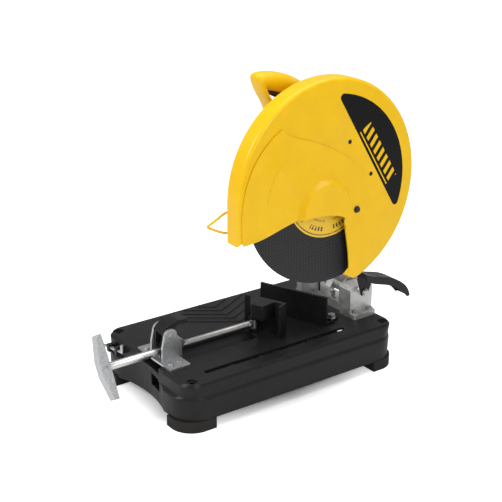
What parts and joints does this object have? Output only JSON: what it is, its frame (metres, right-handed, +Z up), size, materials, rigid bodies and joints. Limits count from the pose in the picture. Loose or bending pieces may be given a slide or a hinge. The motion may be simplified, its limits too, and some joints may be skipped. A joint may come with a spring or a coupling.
{
  "type": "abrasive chop saw",
  "caption": "Bench-top cut-off saw: tilting motor head with a guarded abrasive wheel over a base with a screw vise and an angled fence.",
  "frame": {"origin": "on the floor at the middle of the base", "axes": "+X to the operator's right, along the wheel's axis; +Y away from the operator; +Z up"},
  "size_m": [0.29, 0.608, 0.5765],
  "materials": {
    "guard_yellow": "satin",
    "body_yellow": "satin powder coat",
    "black_paint": "satin",
    "base_black": "satin, fine texture",
    "cast_aluminium": "as cast",
    "zinc_steel": "zinc plated",
    "bright_steel": "machined",
    "dark_steel": "black oxide",
    "black_plastic": "moulded",
    "foot_rubber": "matte",
    "abrasive": "woven mesh over grit",
    "label_yellow": "printed paper",
    "label_black": "printed film",
    "copper": "copper",
    "lamination_steel": "laminated"
  },
  "bodies": {
    "stand": {"base_pan": "base_black", "hex_wrench": "zinc_steel", "rubber_feet": "foot_rubber", "foot_screws": "zinc_steel", "vise_bracket": "zinc_steel", "bracket_bolts": "bright_steel", "lever_pin": "bright_steel", "fence_pivot_bolt": "zinc_steel", "fence_lock_bolt": "zinc_steel", "pivot_bracket": "cast_aluminium", "pivot_bolts": "zinc_steel", "pivot_pin": "bright_steel", "return_spring": "dark_steel", "stop_bolt": "zinc_steel", "stop_nut": "zinc_steel", "deflector_screw": "zinc_steel"},
    "clamp_lever": {"vise_lever": "black_paint", "half_nut": "bright_steel"},
    "jaw_carriage": {"swivel_block": "bright_steel"},
    "screw": {"vise_screw": "bright_steel", "crank": "zinc_steel", "crank_pin": "bright_steel"},
    "jaw": {"vise_jaw": "black_paint"},
    "angle_fence": {"fence": "black_paint"},
    "head_lock": {"lock_pin": "black_plastic"},
    "deflector": {"spark_deflector": "black_paint"},
    "head": {"arm": "cast_aluminium", "gear_cover": "cast_aluminium", "gear_cover_screws": "zinc_steel", "spindle_bearings": "bright_steel", "motor_bearings": "bright_steel", "motor_housing": "body_yellow", "motor_end_cap": "black_plastic", "field_coils": "copper", "brush_holders": "black_plastic", "guard_left": "guard_yellow", "guard_right": "guard_yellow", "cover_bolt": "zinc_steel", "guard_screws": "zinc_steel", "guard_decal": "label_black", "wire_loop": "body_yellow", "handle_left": "guard_yellow", "handle_right": "guard_yellow", "switch_body": "black_plastic", "cord_gland": "black_plastic"},
    "wheel_set": {"spindle": "bright_steel", "spindle_gear": "dark_steel", "inner_flange": "bright_steel", "abrasive_wheel": "abrasive", "wheel_labels": "label_yellow", "outer_flange": "bright_steel", "flange_washer": "zinc_steel", "wheel_bolt": "dark_steel"},
    "armature": {"motor_shaft": "bright_steel", "armature_core": "lamination_steel", "commutator": "copper", "cooling_fan": "black_plastic"},
    "swing_cover": {"side_cover": "guard_yellow"},
    "switch_trigger": {"trigger": "black_plastic"},
    "lock_button": {"spindle_lock": "black_plastic"}
  },
  "joints": [
    {"name": "head_tilt", "type": "hinge", "parent": "stand", "child": "head", "pos_m": [0, 0.204, 0.136], "axis": [1, 0, 0], "range_deg": [0, 35]},
    {"name": "wheel_spin", "type": "hinge", "parent": "head", "child": "wheel_set", "pos_m": [0.107, 0.088, 0.373], "axis": [1, 0, 0], "continuous": true},
    {"name": "armature_spin", "type": "hinge", "parent": "head", "child": "armature", "pos_m": [0, 0.12, 0.4], "axis": [1, 0, 0], "continuous": true},
    {"name": "cover_swing", "type": "hinge", "parent": "head", "child": "swing_cover", "pos_m": [0.128, 0.135, 0.327], "axis": [1, 0, 0], "range_deg": [-70, 0]},
    {"name": "trigger_pull", "type": "hinge", "parent": "head", "child": "switch_trigger", "pos_m": [0.042, 0.05, 0.536], "axis": [1, 0, 0], "range_deg": [-8, 0], "stiffness_Nm_per_rad": 0.05},
    {"name": "spindle_lock_push", "type": "slide", "parent": "head", "child": "lock_button", "axis": [0, 1, 0], "range_m": [0, 0.004], "stiffness_N_per_m": 300},
    {"name": "deflector_tilt", "type": "hinge", "parent": "stand", "child": "deflector", "pos_m": [0.095, 0.19, 0.144], "axis": [1, 0, 0], "range_deg": [-20, 0]},
    {"name": "head_lock_slide", "type": "slide", "parent": "stand", "child": "head_lock", "axis": [1, 0, 0], "range_m": [0, 0.012]},
    {"name": "fence_angle", "type": "hinge", "parent": "stand", "child": "angle_fence", "pos_m": [0.0255, 0.1189, 0.09], "axis": [0, 0, 1], "range_deg": [-22.5, 22.5]},
    {"name": "lever_lift", "type": "hinge", "parent": "stand", "child": "clamp_lever", "pos_m": [0.017, -0.2, 0.137], "axis": [1, 0, 0], "range_deg": [0, 40]},
    {"name": "jaw_slide", "type": "slide", "parent": "stand", "child": "jaw_carriage", "axis": [0, 1, 0], "range_m": [-0.1001, 0.0301]},
    {"name": "vise_screw_turn", "type": "hinge", "parent": "jaw_carriage", "child": "screw", "pos_m": [0.017, -0.1, 0.103], "axis": [0, 1, 0], "range_deg": [-9000, 2700]},
    {"name": "jaw_swivel", "type": "hinge", "parent": "jaw_carriage", "child": "jaw", "pos_m": [0.017, -0.009, 0.103], "axis": [0, 0, 1], "range_deg": [-22.5, 22.5]}
  ],
  "couplings": [
    {"joint": "armature_spin", "follows": "wheel_spin", "ratio": -4.5556},
    {"joint": "jaw_slide", "follows": "vise_screw_turn", "m_per_rad": 0.00063662}
  ]
}
